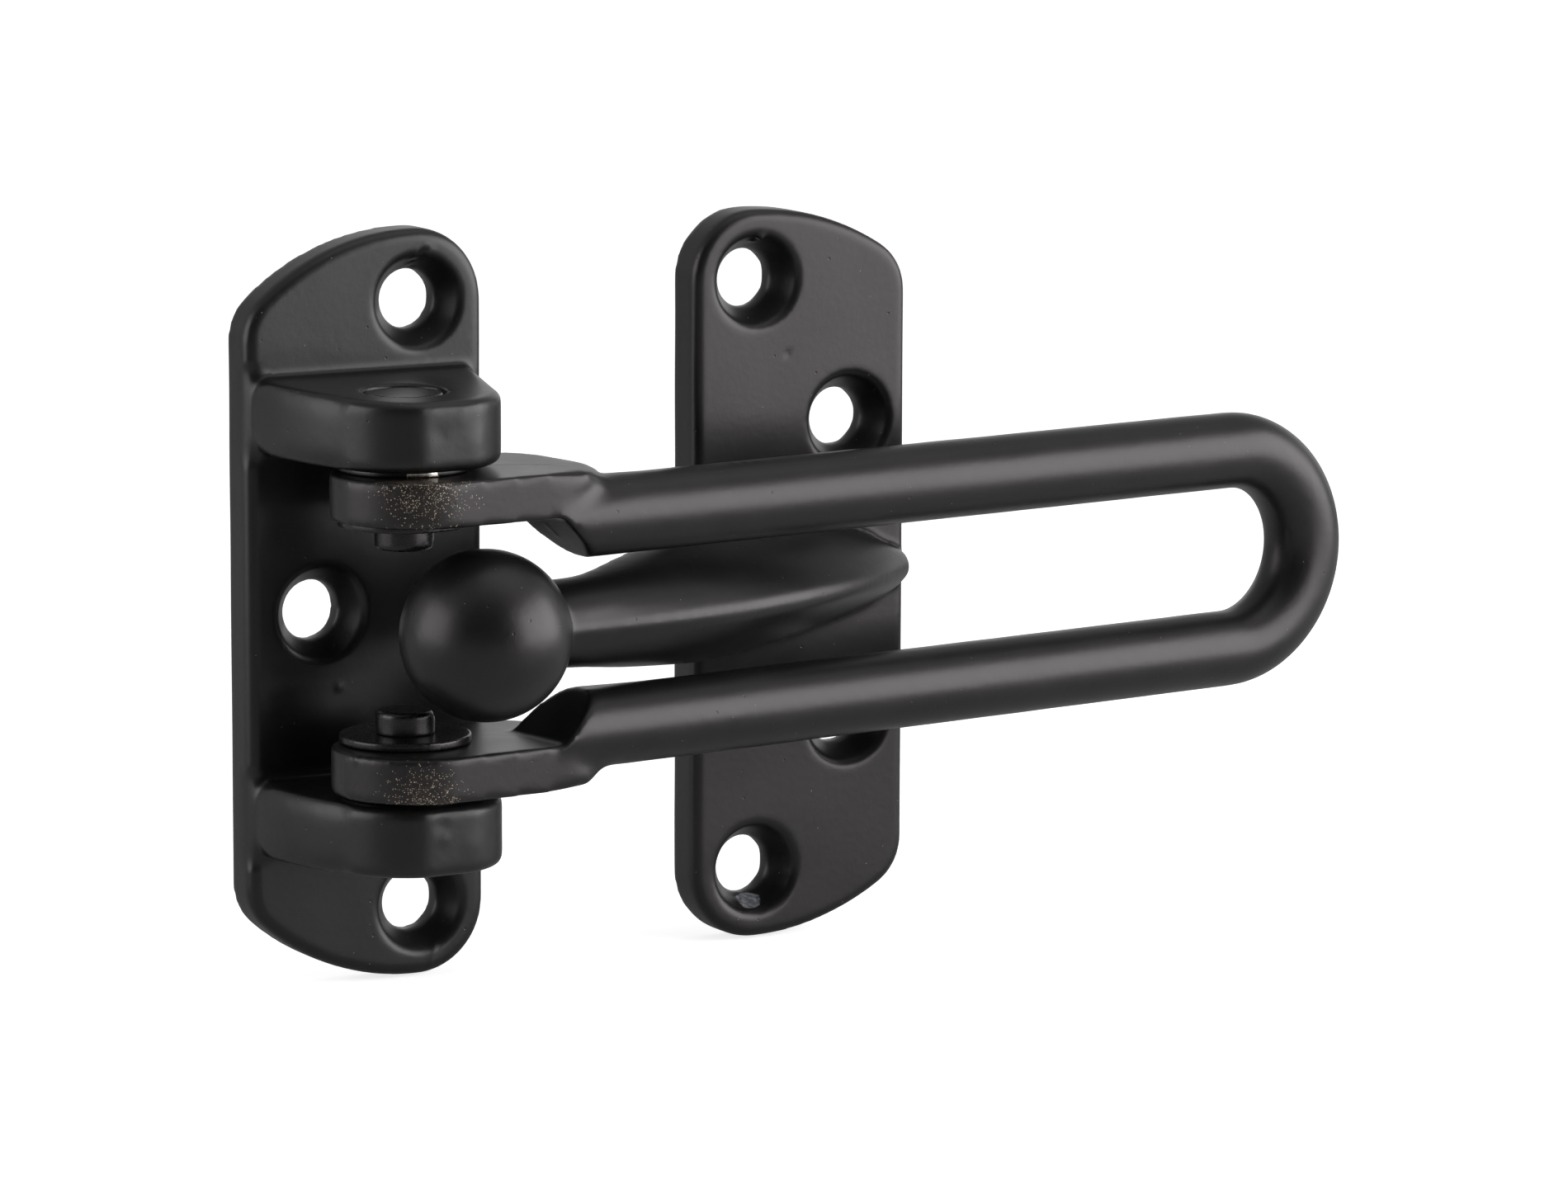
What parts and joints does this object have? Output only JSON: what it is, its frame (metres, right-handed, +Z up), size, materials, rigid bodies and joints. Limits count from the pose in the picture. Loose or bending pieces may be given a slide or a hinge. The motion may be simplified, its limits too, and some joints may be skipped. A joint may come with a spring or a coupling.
{
  "type": "swing bar door restrictor",
  "caption": "Swing bar door restrictor: a hinged loop on an eared frame bracket swings over a ball carried on a keeled arm of a door keep.",
  "frame": {"origin": "centre of the hinge bracket's flat back face", "axes": "+X from the hinge bracket to the ball keep, +Y into the door and frame, +Z up"},
  "size_m": [0.1181, 0.0309, 0.072],
  "materials": {
    "black_coat": "satin black powder coat with slight orange peel, rubbed through to brassy metal on the fronts of the tabs",
    "dark_steel": "black coated steel, satin"
  },
  "bodies": {
    "fixed_parts": {"hinge_bracket": "black_coat", "ball_keep": "black_coat", "upper_hinge_pin": "dark_steel", "lower_hinge_pin": "dark_steel", "upper_retaining_washer": "dark_steel", "lower_retaining_washer": "dark_steel", "upper_friction_washer": "dark_steel", "lower_friction_washer": "dark_steel"},
    "swing_bar": {"swing_bar": "black_coat"}
  },
  "joints": [
    {"name": "bar_hinge", "type": "hinge", "parent": "fixed_parts", "child": "swing_bar", "pos_m": [-0.0018, -0.0158, 0], "axis": [0, 0, -1], "range_deg": [-6, 186]}
  ]
}
